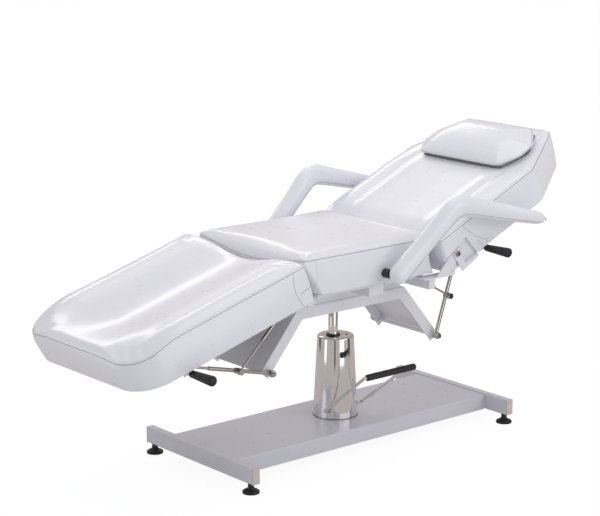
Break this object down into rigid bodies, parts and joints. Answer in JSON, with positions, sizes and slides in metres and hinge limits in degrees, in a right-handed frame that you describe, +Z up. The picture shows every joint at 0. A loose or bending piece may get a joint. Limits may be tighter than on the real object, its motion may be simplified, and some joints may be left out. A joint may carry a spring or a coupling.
{
  "type": "facial treatment bed",
  "caption": "Adjustable facial treatment bed: padded seat, folding leg rest and backrest, pivoting armrests and head pillow on a hydraulic column with foot pedal and H-shaped base.",
  "frame": {"origin": "on the floor under the middle of the bed's length and width", "axes": "+X from the foot end to the head end, +Y to the far side, +Z up"},
  "size_m": [1.7756, 0.732, 0.935],
  "materials": {
    "vinyl": "satin white vinyl with a lilac tint",
    "base_vinyl": "grey vinyl",
    "board": "plywood with dark backing cloth",
    "paint": "white gloss powder coat",
    "chrome": "bright chrome",
    "plated_steel": "zinc plated steel",
    "rubber": "black rubber",
    "cap_plastic": "warm white plastic",
    "dark_seal": "black rubber seal"
  },
  "bodies": {
    "base": {"base_bar_foot": "paint", "base_bar_head": "paint", "base_cap_foot_near": "cap_plastic", "base_cap_foot_far": "cap_plastic", "base_cap_head_near": "cap_plastic", "base_cap_head_far": "cap_plastic", "base_foot_foot_near": "rubber", "base_foot_foot_far": "rubber", "base_foot_head_near": "rubber", "base_foot_head_far": "rubber", "base_deck": "paint", "pump_cover": "chrome", "pump_cylinder": "plated_steel", "pump_seal": "dark_seal", "pedal_lug_left": "paint", "pedal_lug_right": "paint"},
    "lift": {"lift_ram": "chrome"},
    "couch": {"subframe_channel": "paint", "ram_socket": "paint", "seat_frame": "paint", "seat_board": "board", "seat_cushion": "vinyl", "seat_ear_near": "paint", "seat_ear_far": "paint", "wing_pin_leg": "chrome", "wing_pin_back": "chrome", "arm_stud_near": "chrome", "arm_stud_far": "chrome"},
    "pedal": {"pedal_rod": "chrome", "pedal_sleeve": "rubber"},
    "leg_rest": {"leg_cushion": "vinyl", "leg_board": "board", "leg_frame": "paint"},
    "backrest": {"back_cushion": "vinyl", "back_board": "board", "back_frame": "paint", "back_bracket_near": "paint", "back_bracket_far": "paint"},
    "leg_stay_tubes": {"leg_stay_tube_near": "plated_steel", "leg_stay_tube_far": "plated_steel", "leg_tee_collar": "plated_steel"},
    "leg_stay_rods": {"leg_stay_rod_near": "chrome", "leg_stay_rod_far": "chrome"},
    "back_stay_tubes": {"back_stay_tube_near": "plated_steel", "back_stay_tube_far": "plated_steel", "back_tee_collar": "plated_steel"},
    "back_stay_rods": {"back_stay_rod_near": "chrome", "back_stay_rod_far": "chrome"},
    "leg_strut_low": {"leg_strut_tube": "plated_steel"},
    "leg_strut_high": {"leg_strut_rod": "chrome"},
    "back_strut_low": {"back_strut_tube": "plated_steel"},
    "back_strut_high": {"back_strut_rod": "chrome"},
    "leg_release": {"leg_release_bar": "plated_steel", "leg_release_grip": "rubber"},
    "back_release": {"back_release_bar": "plated_steel", "back_release_grip": "rubber"},
    "armrest_near": {"armrest_near": "vinyl"},
    "armrest_far": {"armrest_far": "vinyl"},
    "pillow": {"pillow": "vinyl", "pillow_base": "base_vinyl"}
  },
  "joints": [
    {"name": "lift", "type": "slide", "parent": "base", "child": "lift", "axis": [0, 0, 1], "range_m": [-0.04, 0.12]},
    {"name": "swivel", "type": "hinge", "parent": "lift", "child": "couch", "pos_m": [0.06936, 0, 0.46], "axis": [0, 0, 1], "continuous": true},
    {"name": "pedal", "type": "hinge", "parent": "base", "child": "pedal", "pos_m": [0.07936, -0.034, 0.105], "axis": [1, 0, 0], "range_deg": [0, 25], "stiffness_Nm_per_rad": 6, "springref_deg": -11.46},
    {"name": "leg_fold", "type": "hinge", "parent": "couch", "child": "leg_rest", "pos_m": [-0.24864, 0, 0.59], "axis": [0, 1, 0], "range_deg": [-20, 15]},
    {"name": "back_fold", "type": "hinge", "parent": "couch", "child": "backrest", "pos_m": [0.32236, 0, 0.601], "axis": [0, -1, 0], "range_deg": [-24, 30]},
    {"name": "leg_stay_turn", "type": "hinge", "parent": "couch", "child": "leg_stay_tubes", "pos_m": [-0.29264, 0, 0.307], "axis": [0, 1, 0], "range_deg": [-20, 16]},
    {"name": "leg_stay_reach", "type": "slide", "parent": "leg_stay_tubes", "child": "leg_stay_rods", "axis": [-0.9701, 0, 0.2427], "range_m": [-0.1, 0.08]},
    {"name": "back_stay_turn", "type": "hinge", "parent": "couch", "child": "back_stay_tubes", "pos_m": [0.37336, 0, 0.307], "axis": [0, -1, 0], "range_deg": [-4, 5]},
    {"name": "back_stay_reach", "type": "slide", "parent": "back_stay_tubes", "child": "back_stay_rods", "axis": [0.3193, 0, 0.9476], "range_m": [-0.062, 0.08]},
    {"name": "leg_strut_turn", "type": "hinge", "parent": "couch", "child": "leg_strut_low", "pos_m": [-0.22864, -0.155, 0.52], "axis": [0, 1, 0], "range_deg": [-7, 6]},
    {"name": "leg_strut_reach", "type": "slide", "parent": "leg_strut_low", "child": "leg_strut_high", "axis": [-0.7234, 0, -0.6904], "range_m": [-0.032, 0.038]},
    {"name": "back_strut_turn", "type": "hinge", "parent": "couch", "child": "back_strut_low", "pos_m": [0.26336, -0.155, 0.516], "axis": [0, -1, 0], "range_deg": [-1, 1]},
    {"name": "back_strut_reach", "type": "slide", "parent": "back_strut_low", "child": "back_strut_high", "axis": [0.8701, 0, -0.4928], "range_m": [-0.012, 0.01]},
    {"name": "leg_release", "type": "hinge", "parent": "leg_rest", "child": "leg_release", "pos_m": [-0.67309, -0.264, 0.40462], "axis": [0, 1, 0], "range_deg": [0, 20], "stiffness_Nm_per_rad": 2, "springref_deg": -11.46},
    {"name": "back_release", "type": "hinge", "parent": "backrest", "child": "back_release", "pos_m": [0.4636, -0.264, 0.59602], "axis": [0, -1, 0], "range_deg": [0, 20], "stiffness_Nm_per_rad": 2, "springref_deg": -11.46},
    {"name": "armrest_near", "type": "hinge", "parent": "couch", "child": "armrest_near", "pos_m": [0.05136, -0.31, 0.577], "axis": [0, -1, 0], "range_deg": [0, 55]},
    {"name": "armrest_far", "type": "hinge", "parent": "couch", "child": "armrest_far", "pos_m": [0.05136, 0.31, 0.577], "axis": [0, -1, 0], "range_deg": [0, 55]},
    {"name": "pillow_lift", "type": "slide", "parent": "backrest", "child": "pillow", "axis": [-0.4067, 0, 0.9135], "range_m": [0, 0.12]}
  ],
  "couplings": [
    {"joint": "leg_stay_turn", "follows": "leg_fold", "ratio": 0.9552},
    {"joint": "leg_stay_reach", "follows": "leg_fold", "m_per_rad": 0.28255},
    {"joint": "back_stay_turn", "follows": "back_fold", "ratio": 0.1125},
    {"joint": "back_stay_reach", "follows": "back_fold", "m_per_rad": 0.13853},
    {"joint": "leg_strut_turn", "follows": "leg_fold", "ratio": 0.259},
    {"joint": "leg_strut_reach", "follows": "leg_fold", "m_per_rad": -0.10308},
    {"joint": "back_strut_turn", "follows": "back_fold", "ratio": -0.0165},
    {"joint": "back_strut_reach", "follows": "back_fold", "m_per_rad": -0.01433}
  ]
}
